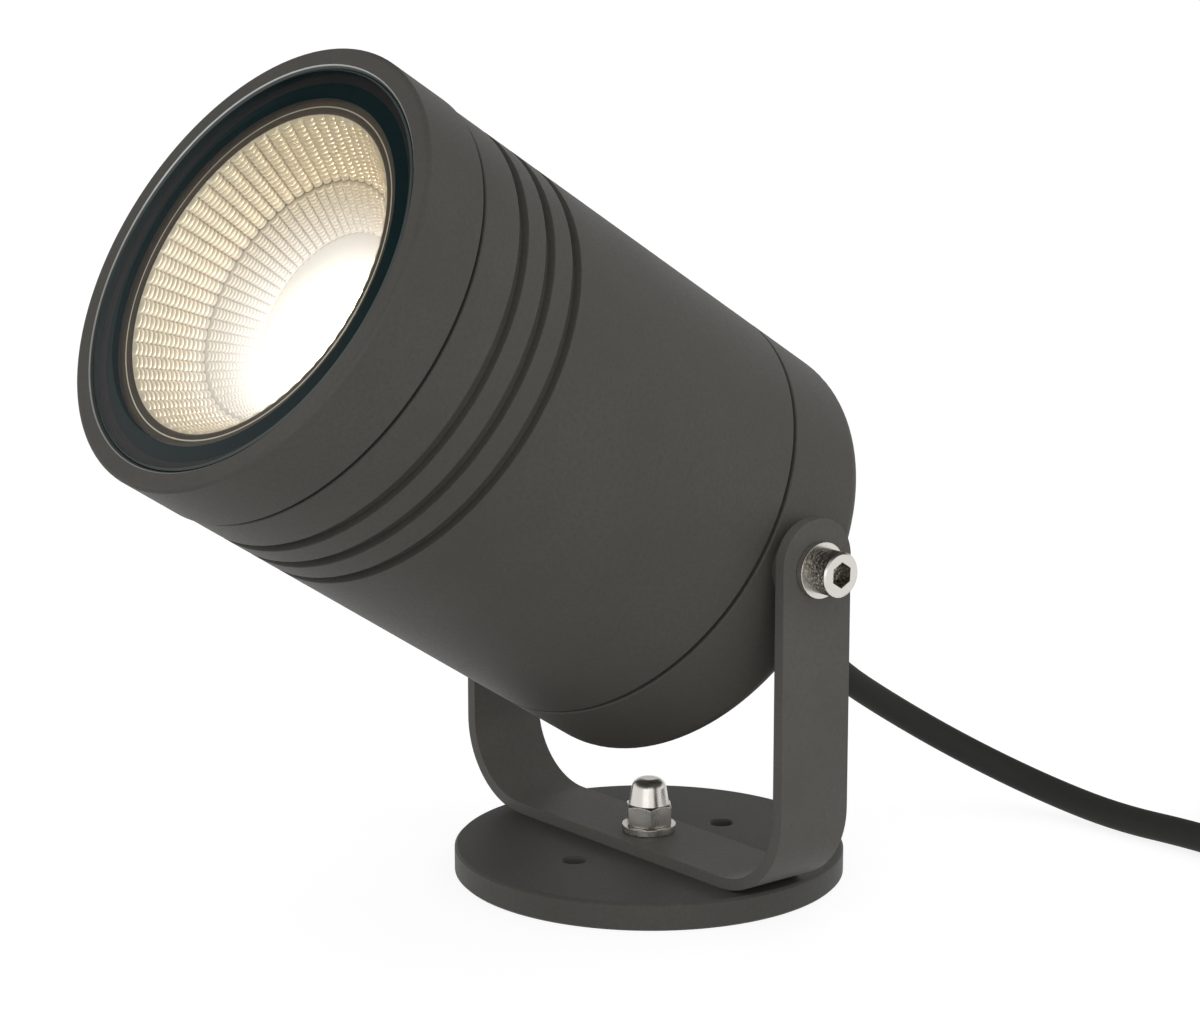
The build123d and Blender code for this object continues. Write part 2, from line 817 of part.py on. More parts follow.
os.makedirs("parts", exist_ok=True)
for name, shape in standing.items():
    export_step(shape, f"parts/{name}.step")
for name, shape in leaning.items():
    export_step(HEAD * shape, f"parts/{name}.step")
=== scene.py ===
"""Garden spotlight: finishes, glass, fluted reflector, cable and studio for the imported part.

Lengths are metres, as in the frame. MM turns a size in millimetres into metres.
"""

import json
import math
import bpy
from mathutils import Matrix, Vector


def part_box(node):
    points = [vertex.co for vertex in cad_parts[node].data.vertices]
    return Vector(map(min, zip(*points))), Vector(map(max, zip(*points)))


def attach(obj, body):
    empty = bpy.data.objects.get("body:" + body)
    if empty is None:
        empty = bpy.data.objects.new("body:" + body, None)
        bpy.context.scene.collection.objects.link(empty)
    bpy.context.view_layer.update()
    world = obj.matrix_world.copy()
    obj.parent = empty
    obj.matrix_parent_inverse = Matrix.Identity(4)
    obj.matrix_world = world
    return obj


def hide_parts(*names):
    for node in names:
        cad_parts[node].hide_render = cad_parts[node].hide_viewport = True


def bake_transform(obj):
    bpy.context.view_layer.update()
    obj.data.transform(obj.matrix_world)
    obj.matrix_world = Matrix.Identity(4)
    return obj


bl_info = {
    "name": "Garden Spotlight",
    "version": (1, 0, 0),
    "blender": (4, 5, 0),
    "location": "3D View > Sidebar > Spotlight",
    "description": "Finishes, glass, reflector, cable and studio of a garden spotlight",
    "category": "Object",
}

import bmesh
import bpy
from bpy.props import FloatProperty, FloatVectorProperty, IntProperty, PointerProperty
from mathutils import Matrix, Vector

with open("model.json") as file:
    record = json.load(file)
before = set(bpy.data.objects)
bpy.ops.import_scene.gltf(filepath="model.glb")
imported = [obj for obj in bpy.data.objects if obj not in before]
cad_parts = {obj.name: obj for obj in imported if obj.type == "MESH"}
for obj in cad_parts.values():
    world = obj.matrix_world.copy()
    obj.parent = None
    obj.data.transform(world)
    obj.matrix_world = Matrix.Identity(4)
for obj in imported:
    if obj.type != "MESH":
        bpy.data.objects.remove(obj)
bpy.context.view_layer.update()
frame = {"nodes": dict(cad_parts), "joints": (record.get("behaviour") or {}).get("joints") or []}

MM = 0.001


def joint(name):
    return next(row for row in frame["joints"] if row["name"] == name)


def middle(node):
    low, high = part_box(node)
    return (low + high) / 2


# The head's own frame: its origin is the pivot, and Z runs out through the glass
pivot = Vector(joint("head_tilt")["pos_m"])
head_axis = (middle("led_emitter") - pivot).normalized()
HEAD = (Matrix.Translation(pivot)
        @ Vector((0, 0, 1)).rotation_difference(head_axis).to_matrix().to_4x4())


def reach(node):
    """A head node's (lowest height, highest height, outer radius) in the head's frame."""
    inverse = HEAD.inverted()
    points = [inverse @ vertex.co for vertex in frame["nodes"][node].data.vertices]
    heights = [point.z for point in points]
    return min(heights), max(heights), max(point.xy.length for point in points)


def linear(text):
    """Linear RGBA of an sRGB hex colour."""
    levels = [int(text[index:index + 2], 16) / 255 for index in (1, 3, 5)]
    return tuple(level / 12.92 if level <= 0.04045 else ((level + 0.055) / 1.055) ** 2.4
                 for level in levels) + (1.0,)


def per_mm(size):
    """Texture scale of a pattern whose features are that many millimetres across."""
    return 1 / (size * MM)


def colour_property(name, description, text):
    return FloatVectorProperty(name=name, description=description, default=linear(text),
                               subtype="COLOR", size=4, min=0, max=1)


def length_property(name, description, size):
    return FloatProperty(name=name, description=description, default=size * MM,
                         unit="LENGTH", min=0, precision=4)


class SpotlightFinishes(bpy.types.PropertyGroup):
    """Colours of the painted, moulded and drawn pieces"""

    coat: colour_property("Coat", "Powder coat of the head's castings", "#53514C")
    bracket_coat: colour_property("Bracket coat", "Powder coat of the bracket", "#615F5A")
    base_coat: colour_property("Base coat", "Powder coat of the base plate", "#4E4D49")
    coat_grain: length_property("Coat grain", "Width of a grain of the powder coat", 0.5)
    rubber: colour_property("Cable rubber", "Sheath of the supply cable", "#333330")
    border: colour_property("Glass border", "Ceramic ink printed on the back of the glass",
                            "#142C30")
    metallising: colour_property("Metallising", "Aluminium vapour on the reflector", "#DFCDB2")
    light: colour_property("Light", "Light that the emitter gives", "#FFF6EE")
    light_strength: FloatProperty(name="Light strength", description="Radiance of the emitter",
                                  default=27, min=0)


class SpotlightGlass(bpy.types.PropertyGroup):
    """Sizes of the front glass"""

    chamfer: length_property("Chamfer", "Ground edge of the glass", 0.4)
    border_radius: length_property("Border radius", "Inner edge of the printed border", 40.2)


class SpotlightReflector(bpy.types.PropertyGroup):
    """Sizes of the reflector's optical side"""

    flutes: IntProperty(name="Flutes", description="Ribs round the reflector", default=64, min=8)
    swell: length_property("Swell", "Height of a rib over its sides", 0.5)
    valley: length_property("Valley", "Depth of the groove between two ribs", 0.25)
    upper_rows: IntProperty(name="Upper rows", description="Facets along an upper rib",
                            default=16, min=1)
    lower_rows: IntProperty(name="Lower rows", description="Facets along a lower rib",
                            default=15, min=1)
    pillow: length_property("Pillow", "Height of one facet over its edges", 0.22)
    mouth: length_property("Mouth", "Radius of the valleys at the rim", 37.2)
    step: length_property("Step", "Radius of the valleys above the step", 28.6)
    step_width: length_property("Step width", "Width of the step between the zones", 0.6)
    throat: length_property("Throat", "Radius of the valleys at the throat", 20.6)
    collar: length_property("Collar", "Radius of the hole round the emitter", 10.8)
    upper_zone: length_property("Upper zone", "Height of the upper zone", 13.0)
    lower_zone: length_property("Lower zone", "Height of the lower zone", 8.5)
    lip: length_property("Lip", "Radius that rolls the wall into the flange", 0.8)
    # Painted highlight: a flat ring left in the metallised finish, a bright line between the dark
    # painted bands on the flange
    ridge: length_property("Ridge", "Radius of the bright ridge on the flange", 38.4)
    highlight_ring_width: length_property("Ridge width", "Width of the bright ridge", 0.3)
    wall: length_property("Wall", "Moulding's wall", 1.5)
    flange: length_property("Flange", "Thickness of the flange", 1.2)
    # Painted glare: its centre lies this far below the emitter's middle
    painted_glare_drop: length_property("Glare drop", "From the emitter's middle down to the glare's", 5.0)


class SpotlightCable(bpy.types.PropertyGroup):
    """Sizes of the supply cable and its put-away coil"""

    diameter: length_property("Diameter", "Sheath of the cable", 6.8)
    coil_radius: length_property("Coil radius", "Outermost turn, at the cable's middle", 44.5)
    coil_pitch: length_property("Coil pitch", "Distance between neighbouring turns", 7.4)


class SpotlightStage(bpy.types.PropertyGroup):
    """Camera, lamps and floor"""

    azimuth: FloatProperty(name="Azimuth", description="Camera's turn round the part",
                           default=math.radians(50.573), subtype="ANGLE")
    elevation: FloatProperty(name="Elevation", description="Camera's height over the horizon",
                             default=math.radians(12.401), subtype="ANGLE")
    distance: length_property("Distance", "From the camera to its aim", 822.218)
    aim: FloatVectorProperty(name="Aim", description="Point that the camera looks at",
                             default=(-21.17 * MM, 2.62 * MM, 81.92 * MM), subtype="TRANSLATION")
    lens: FloatProperty(name="Lens", description="Focal length in millimetres", default=105.27)
    key: FloatProperty(name="Key lamp", description="Power of the soft box on the right",
                       default=2.2, unit="POWER")
    fill: FloatProperty(name="Fill lamp", description="Power of the soft box in front",
                        default=1.8, unit="POWER")
    ambient: FloatProperty(name="Ambient", description="Light from all round", default=0.7)
    ceiling: FloatProperty(name="Ceiling", description="What shiny surfaces mirror from high up",
                           default=0.05)
    bowl: FloatProperty(name="Bowl", description="What reaches the reflector through the glass",
                        default=0.55)


class SpotlightSettings(bpy.types.PropertyGroup):
    """All the sizes and colours of the spotlight"""

    finishes: PointerProperty(type=SpotlightFinishes)
    glass: PointerProperty(type=SpotlightGlass)
    reflector: PointerProperty(type=SpotlightReflector)
    cable: PointerProperty(type=SpotlightCable)
    stage: PointerProperty(type=SpotlightStage)


def add(tree, kind, sockets=None, **settings):
    """Adds a node, sets it up, and fills its sockets with values or with links from other nodes."""
    node = tree.nodes.new("ShaderNode" + kind)
    for name, value in settings.items():
        setattr(node, name, value)
    inputs = {socket.identifier: socket for socket in node.inputs}
    for name, value in (sockets or {}).items():
        if isinstance(value, bpy.types.NodeSocket):
            tree.links.new(value, inputs[name])
        else:
            inputs[name].default_value = value
    return node


def new_material(name):
    """An empty material: its node tree and the place where a surface shader goes."""
    material = bpy.data.materials.new(name)
    material.use_nodes = True
    tree = material.node_tree
    tree.nodes.clear()
    output = add(tree, "OutputMaterial")
    return material, tree, output.inputs["Surface"]


def powder_coat(name, colour, grain, edge):
    """Polyester powder baked on metal: satin, with a fine orange peel and faint clouds."""
    material, tree, surface = new_material(name)
    place = add(tree, "TexCoord").outputs["Object"]
    clouds = add(tree, "TexNoise", {"Vector": place, "Scale": per_mm(24),
                                    "Detail": 3}).outputs["Fac"]
    specks = add(tree, "TexNoise", {"Vector": place, "Scale": per_mm(0.9),
                                    "Detail": 2}).outputs["Fac"]
    mixed = add(tree, "Math", {"Value": clouds, "Value_001": specks},
                operation="MULTIPLY").outputs[0]
    level = add(tree, "MapRange", {"Value": mixed, "From Min": 0.1, "From Max": 0.45,
                                   "To Min": 0.9, "To Max": 1.1}).outputs["Result"]
    shade = add(tree, "VectorMath", {"Vector": colour[:3], "Scale": level},
                operation="SCALE").outputs[0]
    peel = add(tree, "TexNoise", {"Vector": place, "Scale": 1 / grain, "Detail": 2,
                                  "Roughness": 0.6}).outputs["Fac"]
    rough = add(tree, "MapRange", {"Value": peel, "From Min": 0.3, "From Max": 0.7,
                                   "To Min": 0.5, "To Max": 0.64}).outputs["Result"]
    soft = add(tree, "Bevel", {"Radius": edge * MM}, samples=6).outputs[0]
    relief = add(tree, "Bump", {"Height": peel, "Normal": soft, "Strength": 0.35,
                                "Distance": 0.06 * MM}).outputs[0]
    shader = add(tree, "BsdfPrincipled", {"Base Color": shade, "Roughness": rough,
                                          "Normal": relief, "Specular IOR Level": 0.32})
    tree.links.new(shader.outputs[0], surface)
    return material


def turned_stainless():
    """A2 stainless steel, turned: mirror-like, with fine tool marks and a warm grey body."""
    material, tree, surface = new_material("stainless steel, turned bright")
    place = add(tree, "TexCoord").outputs["Object"]
    marks = add(tree, "TexNoise", {"Vector": place, "Scale": per_mm(0.35),
                                   "Detail": 3}).outputs["Fac"]
    smears = add(tree, "TexNoise", {"Vector": place, "Scale": per_mm(4),
                                    "Detail": 2}).outputs["Fac"]
    rough = add(tree, "MapRange", {"Value": smears, "From Min": 0.3, "From Max": 0.7,
                                   "To Min": 0.22, "To Max": 0.34}).outputs["Result"]
    tint = add(tree, "Mix", {"Factor_Float": smears, "A_Color": linear("#CFCBC4"),
                             "B_Color": linear("#DEDAD4")}, data_type="RGBA").outputs[2]
    soft = add(tree, "Bevel", {"Radius": 0.25 * MM}, samples=6).outputs[0]
    relief = add(tree, "Bump", {"Height": marks, "Normal": soft, "Strength": 0.1,
                                "Distance": 0.02 * MM}).outputs[0]
    shader = add(tree, "BsdfPrincipled", {"Base Color": tint, "Metallic": 1, "Roughness": rough,
                                          "Normal": relief})
    tree.links.new(shader.outputs[0], surface)
    return material


def knurled_stainless():
    """Rolled knurl and pressed socket of a screw: the same steel in dark and bright points."""
    material, tree, surface = new_material("stainless steel, knurled")
    place = add(tree, "TexCoord").outputs["Object"]
    points = add(tree, "TexVoronoi", {"Vector": place, "Scale": per_mm(0.7)}).outputs["Distance"]
    tint = add(tree, "Mix", {"Factor_Float": points, "A_Color": linear("#B2ADA5"),
                             "B_Color": linear("#625E58")}, data_type="RGBA").outputs[2]
    relief = add(tree, "Bump", {"Height": points, "Strength": 0.8,
                                "Distance": 0.25 * MM}).outputs[0]
    shader = add(tree, "BsdfPrincipled", {"Base Color": tint, "Metallic": 1, "Roughness": 0.35,
                                          "Normal": relief})
    tree.links.new(shader.outputs[0], surface)
    return material


def zinc_plate():
    """Steel screws with bright zinc: a cool, patchy metal that scatters more than stainless."""
    material, tree, surface = new_material("steel, bright zinc plate")
    place = add(tree, "TexCoord").outputs["Object"]
    spangle = add(tree, "TexVoronoi", {"Vector": place, "Scale": per_mm(0.8)}).outputs["Distance"]
    tint = add(tree, "Mix", {"Factor_Float": spangle, "A_Color": linear("#AEB3BA"),
                             "B_Color": linear("#C9CCCE")}, data_type="RGBA").outputs[2]
    rough = add(tree, "MapRange", {"Value": spangle, "To Min": 0.28,
                                   "To Max": 0.42}).outputs["Result"]
    shader = add(tree, "BsdfPrincipled", {"Base Color": tint, "Metallic": 1, "Roughness": rough})
    tree.links.new(shader.outputs[0], surface)
    return material


def milled_aluminium():
    """Bare aluminium plate: pale metal with the fine marks of the cutter."""
    material, tree, surface = new_material("aluminium, milled")
    place = add(tree, "TexCoord").outputs["Object"]
    marks = add(tree, "TexWave", {"Vector": place, "Scale": per_mm(1.2), "Distortion": 1.5},
                bands_direction="X").outputs["Fac"]
    rough = add(tree, "MapRange", {"Value": marks, "To Min": 0.3, "To Max": 0.42}).outputs["Result"]
    relief = add(tree, "Bump", {"Height": marks, "Strength": 0.2, "Distance": 0.02 * MM}).outputs[0]
    shader = add(tree, "BsdfPrincipled", {"Base Color": linear("#CDCECF"), "Metallic": 1,
                                          "Roughness": rough, "Normal": relief})
    tree.links.new(shader.outputs[0], surface)
    return material


def toughened_glass(name, mirrored):
    """Toughened soda-lime glass: clear, polished, and faintly green in its depth."""
    material, tree, surface = new_material(name)
    place = add(tree, "TexCoord").outputs["Object"]
    waves = add(tree, "TexNoise", {"Vector": place, "Scale": per_mm(60),
                                   "Detail": 1}).outputs["Fac"]
    relief = add(tree, "Bump", {"Height": waves, "Strength": 0.05,
                                "Distance": 0.05 * MM}).outputs[0]
    shader = add(tree, "BsdfPrincipled", {"Base Color": linear("#F6FBF8"), "Roughness": 0.0,
                                          "IOR": 1.52, "Transmission Weight": 1, "Normal": relief,
                                          "Specular Tint": linear(mirrored)})
    tree.links.new(shader.outputs[0], surface)
    return material


def ceramic_ink(colour):
    """Ceramic ink fired on the back of the glass: blue-black, with no shine but the glass's own."""
    material, tree, surface = new_material("ceramic ink, fired")
    place = add(tree, "TexCoord").outputs["Object"]
    screen = add(tree, "TexNoise", {"Vector": place, "Scale": per_mm(0.6),
                                    "Detail": 2}).outputs["Fac"]
    level = add(tree, "MapRange", {"Value": screen, "To Min": 0.94,
                                   "To Max": 1.06}).outputs["Result"]
    shade = add(tree, "VectorMath", {"Vector": colour[:3], "Scale": level},
                operation="SCALE").outputs[0]
    shader = add(tree, "BsdfPrincipled", {"Base Color": shade, "Roughness": 0.5,
                                          "Specular IOR Level": 0})
    tree.links.new(shader.outputs[0], surface)
    return material


def ground_glass():
    """Ground edge of the glass: frosted, and dark green where no light leaves it."""
    material, tree, surface = new_material("glass, ground edge")
    place = add(tree, "TexCoord").outputs["Object"]
    grit = add(tree, "TexNoise", {"Vector": place, "Scale": per_mm(0.2),
                                  "Detail": 2}).outputs["Fac"]
    relief = add(tree, "Bump", {"Height": grit, "Strength": 0.4,
                                "Distance": 0.02 * MM}).outputs[0]
    shader = add(tree, "BsdfPrincipled", {"Base Color": linear("#4A5452"), "Roughness": 0.55,
                                          "IOR": 1.52, "Normal": relief})
    tree.links.new(shader.outputs[0], surface)
    return material


def metallised_plastic(colour, light, painted_glare_centre, down):
    """Polycarbonate with aluminium vapour: a warm mirror, with a white glare painted round the
    emitter and painted light and shade on its facets.
    """
    painted_glare_full, painted_glare_edge = 10 * MM, 41 * MM
    deep_edge, pale_edge = 24 * MM, 36 * MM
    painted_spill_edge, painted_spill_end = 6 * MM, 34 * MM
    material, tree, surface = new_material("polycarbonate, vacuum metallised, painted glare and shade")
    place = add(tree, "TexCoord").outputs["Object"]
    normal = add(tree, "NewGeometry").outputs["Normal"]
    haze = add(tree, "TexNoise", {"Vector": place, "Scale": per_mm(2.5),
                                  "Detail": 3}).outputs["Fac"]
    rough = add(tree, "MapRange", {"Value": haze, "From Min": 0.3, "From Max": 0.7,
                                   "To Min": 0.34, "To Max": 0.44}).outputs["Result"]
    patches = add(tree, "MapRange", {"Value": haze, "To Min": 0.94,
                                     "To Max": 1.04}).outputs["Result"]
    # Painted shade: the colour and the painted spill are darker in the grooves between the ribs,
    # from ambient occlusion
    open_side = add(tree, "AmbientOcclusion", {"Distance": 1.2 * MM}, samples=8,
                    only_local=True).outputs["AO"]
    groove = add(tree, "MapRange", {"Value": open_side, "From Min": 0.4, "From Max": 0.9,
                                    "To Min": 0.4, "To Max": 1}).outputs["Result"]
    level = add(tree, "Math", {"Value": patches, "Value_001": groove},
                operation="MULTIPLY").outputs[0]

    # Greyer down in the bowl than near its rim
    inward = add(tree, "VectorMath", {"Vector": painted_glare_centre, "Vector_001": place},
                 operation="SUBTRACT").outputs[0]
    away = add(tree, "VectorMath", {"Vector": inward}, operation="LENGTH").outputs["Value"]
    deep = add(tree, "MapRange", {"Value": away, "From Min": deep_edge, "From Max": pale_edge,
                                  "To Min": 1, "To Max": 0}).outputs["Result"]
    tint = add(tree, "Mix", {"Factor_Float": deep, "A_Color": colour, "B_Color": linear("#B0A6A2")},
               data_type="RGBA").outputs[2]
    shade = add(tree, "VectorMath", {"Vector": tint, "Scale": level},
                operation="SCALE").outputs[0]

    # Painted light: a white glare painted round the emitter, and a painted spill over the facets at
    # its level and below, lighter where a facet faces the glare
    near = add(tree, "MapRange", {"Value": away, "From Min": painted_glare_full, "From Max": painted_glare_edge,
                                  "To Min": 1, "To Max": 0}).outputs["Result"]
    glare = add(tree, "Math", {"Value": near, "Value_001": 2.3}, operation="POWER").outputs[0]
    above = add(tree, "VectorMath", {"Vector": inward, "Vector_001": down},
                operation="DOT_PRODUCT").outputs["Value"]
    painted_spill = add(tree, "MapRange", {"Value": above, "From Min": painted_spill_edge, "From Max": painted_spill_end,
                                   "To Min": 0.22, "To Max": 0}).outputs["Result"]
    toward = add(tree, "VectorMath", {"Vector": inward}, operation="NORMALIZE").outputs[0]
    facing = add(tree, "VectorMath", {"Vector": normal, "Vector_001": toward},
                 operation="DOT_PRODUCT").outputs["Value"]
    painted_facet_shading = add(tree, "MapRange", {"Value": facing, "From Min": 0, "From Max": 0.9,
                                   "To Min": 0.3, "To Max": 1.5}).outputs["Result"]
    # Painted light and shade per facet, then painted shade in the grooves
    rows = add(tree, "Math", {"Value": painted_spill, "Value_001": painted_facet_shading}, operation="MULTIPLY").outputs[0]
    ribs = add(tree, "Math", {"Value": rows, "Value_001": groove}, operation="MULTIPLY").outputs[0]
    lit = add(tree, "Math", {"Value": glare, "Value_001": ribs}, operation="ADD").outputs[0]
    glow = add(tree, "VectorMath", {"Vector": light[:3], "Scale": lit},
               operation="SCALE").outputs[0]
    shader = add(tree, "BsdfPrincipled", {"Base Color": shade, "Metallic": 0.55, "Roughness": rough,
                                          "Emission Color": glow, "Emission Strength": 1.9})
    tree.links.new(shader.outputs[0], surface)
    return material


def lip_shade_and_highlight(edge):
    """Lip round the glass: dark grey painted shade in the gap by the glass, and a thin bright
    painted highlight line that is partly metal.
    """
    line, blur = 0.3 * MM, 0.1 * MM
    material, tree, surface = new_material("lip, painted gap shade and painted highlight line")
    place = add(tree, "TexCoord").outputs["Object"]
    spoke = add(tree, "VectorMath", {"Vector": place, "Vector_001": pivot},
                operation="SUBTRACT").outputs[0]
    across = add(tree, "VectorMath", {"Vector": spoke, "Vector_001": head_axis},
                 operation="CROSS_PRODUCT").outputs[0]
    radius = add(tree, "VectorMath", {"Vector": across}, operation="LENGTH").outputs["Value"]
    # Painted highlight: the thin pale line at the lip's outer edge, half metal; painted shade: the
    # dark grey inside it
    bare = add(tree, "MapRange", {"Value": radius, "From Min": edge - line,
                                  "From Max": edge - line + blur}).outputs["Result"]
    tint = add(tree, "Mix", {"Factor_Float": bare, "A_Color": linear("#3C4443"),
                             "B_Color": linear("#C4C4C0")}, data_type="RGBA").outputs[2]
    metal = add(tree, "Math", {"Value": bare, "Value_001": 0.5}, operation="MULTIPLY").outputs[0]
    marks = add(tree, "TexNoise", {"Vector": place, "Scale": per_mm(1.2),
                                   "Detail": 3}).outputs["Fac"]
    rough = add(tree, "MapRange", {"Value": marks, "To Min": 0.35,
                                   "To Max": 0.55}).outputs["Result"]
    shader = add(tree, "BsdfPrincipled", {"Base Color": tint, "Metallic": metal,
                                          "Roughness": rough})
    tree.links.new(shader.outputs[0], surface)
    return material


def lit_phosphor(light, strength):
    """Phosphor in silicone over the chips, alight: yellow body and a strong warm white glow."""
    material, tree, surface = new_material("phosphor in silicone")
    place = add(tree, "TexCoord").outputs["Object"]
    grains = add(tree, "TexNoise", {"Vector": place, "Scale": per_mm(0.8),
                                    "Detail": 2}).outputs["Fac"]
    tint = add(tree, "Mix", {"Factor_Float": grains, "A_Color": linear("#D9B23A"),
                             "B_Color": linear("#E9C95A")}, data_type="RGBA").outputs[2]
    shader = add(tree, "BsdfPrincipled", {"Base Color": tint, "Roughness": 0.35,
                                          "Emission Color": light, "Emission Strength": strength})
    tree.links.new(shader.outputs[0], surface)
    return material


def moulded(name, dark, pale, grain, roughness, shine=0.5):
    """Moulded plastic or rubber: two near shades in a fine cloud, and the mould's spark grain."""
    material, tree, surface = new_material(name)
    place = add(tree, "TexCoord").outputs["Object"]
    clouds = add(tree, "TexNoise", {"Vector": place, "Scale": per_mm(9),
                                    "Detail": 3}).outputs["Fac"]
    tint = add(tree, "Mix", {"Factor_Float": clouds, "A_Color": dark, "B_Color": pale},
               data_type="RGBA").outputs[2]
    spark = add(tree, "TexNoise", {"Vector": place, "Scale": per_mm(grain),
                                   "Detail": 2}).outputs["Fac"]
    spread = 0.08
    rough = add(tree, "MapRange", {"Value": spark, "To Min": roughness - spread,
                                   "To Max": roughness + spread}).outputs["Result"]
    relief = add(tree, "Bump", {"Height": spark, "Strength": 0.3,
                                "Distance": 0.03 * MM}).outputs[0]
    shader = add(tree, "BsdfPrincipled", {"Base Color": tint, "Roughness": rough, "Normal": relief,
                                          "Specular IOR Level": shine})
    tree.links.new(shader.outputs[0], surface)
    return material


def tinned_copper():
    """Tinned copper ferrules: soft silver metal with crimp-dulled patches."""
    material, tree, surface = new_material("copper, tinned")
    place = add(tree, "TexCoord").outputs["Object"]
    patches = add(tree, "TexNoise", {"Vector": place, "Scale": per_mm(1.5),
                                     "Detail": 2}).outputs["Fac"]
    rough = add(tree, "MapRange", {"Value": patches, "To Min": 0.22,
                                   "To Max": 0.45}).outputs["Result"]
    shader = add(tree, "BsdfPrincipled", {"Base Color": linear("#CFCDC8"), "Metallic": 1,
                                          "Roughness": rough})
    tree.links.new(shader.outputs[0], surface)
    return material


def finish(material, *nodes):
    """Gives CAD nodes one finish."""
    for node in nodes:
        slots = frame["nodes"][node].data.materials
        slots.clear()
        slots.append(material)


def finish_faces(material, node, chosen):
    """Gives the faces of a CAD node that are chosen by centre and normal a finish of their own."""
    mesh = frame["nodes"][node].data
    mesh.materials.append(material)
    for polygon in mesh.polygons:
        if chosen(polygon.center, polygon.normal):
            polygon.material_index = len(mesh.materials) - 1


def finish_strands(node, materials):
    """Gives each strand of a CAD node its own finish, in the order of the strands' places."""
    mesh = frame["nodes"][node].data
    owner = {}

    def root(key):
        while owner[key] != key:
            owner[key] = owner[owner[key]]
            key = owner[key]
        return key

    keys = [tuple(round(value / MM, 2) for value in vertex.co) for vertex in mesh.vertices]
    for key in keys:
        owner.setdefault(key, key)
    for polygon in mesh.polygons:
        first = root(keys[polygon.vertices[0]])
        for index in polygon.vertices[1:]:
            owner[root(keys[index])] = first
    strands = sorted({root(key) for key in keys})
    mesh.materials.clear()
    for material in materials:
        mesh.materials.append(material)
    for polygon in mesh.polygons:
        strand = strands.index(root(keys[polygon.vertices[0]]))
        polygon.material_index = strand % len(materials)


def skin(name, rings, materials, bands=None, closed=False, crease=28):
    """A mesh of quads between rings of points; an open one gets a flat face at each end."""
    count = len(rings[0])
    pairs = [(index, index + 1) for index in range(len(rings) - 1)]
    if closed:
        pairs.append((len(rings) - 1, 0))
    faces = [(low * count + side, low * count + (side + 1) % count,
              high * count + (side + 1) % count, high * count + side)
             for low, high in pairs for side in range(count)]
    slots = [slot for slot in (bands or [0] * len(pairs)) for _ in range(count)]
    if not closed:
        last = (len(rings) - 1) * count
        faces += [tuple(range(count)), tuple(range(last, last + count))]
        slots += [0, 0]
    mesh = bpy.data.meshes.new(name)
    mesh.from_pydata([point for ring in rings for point in ring], [], faces)
    mesh.polygons.foreach_set("material_index", slots)
    shell = bmesh.new()
    shell.from_mesh(mesh)
    bmesh.ops.recalc_face_normals(shell, faces=shell.faces)
    shell.to_mesh(mesh)
    shell.free()
    for material in materials:
        mesh.materials.append(material)
    mesh.shade_smooth()
    mesh.set_sharp_from_angle(angle=math.radians(crease))
    piece = bpy.data.objects.new(name, mesh)
    bpy.context.scene.collection.objects.link(piece)
    return piece


def head_ring(radii, height):
    """A ring of points about the head's axis."""
    turn = 2 * math.pi / len(radii)
    return [HEAD @ Vector((radius * math.cos(side * turn), radius * math.sin(side * turn), height))
            for side, radius in enumerate(radii)]


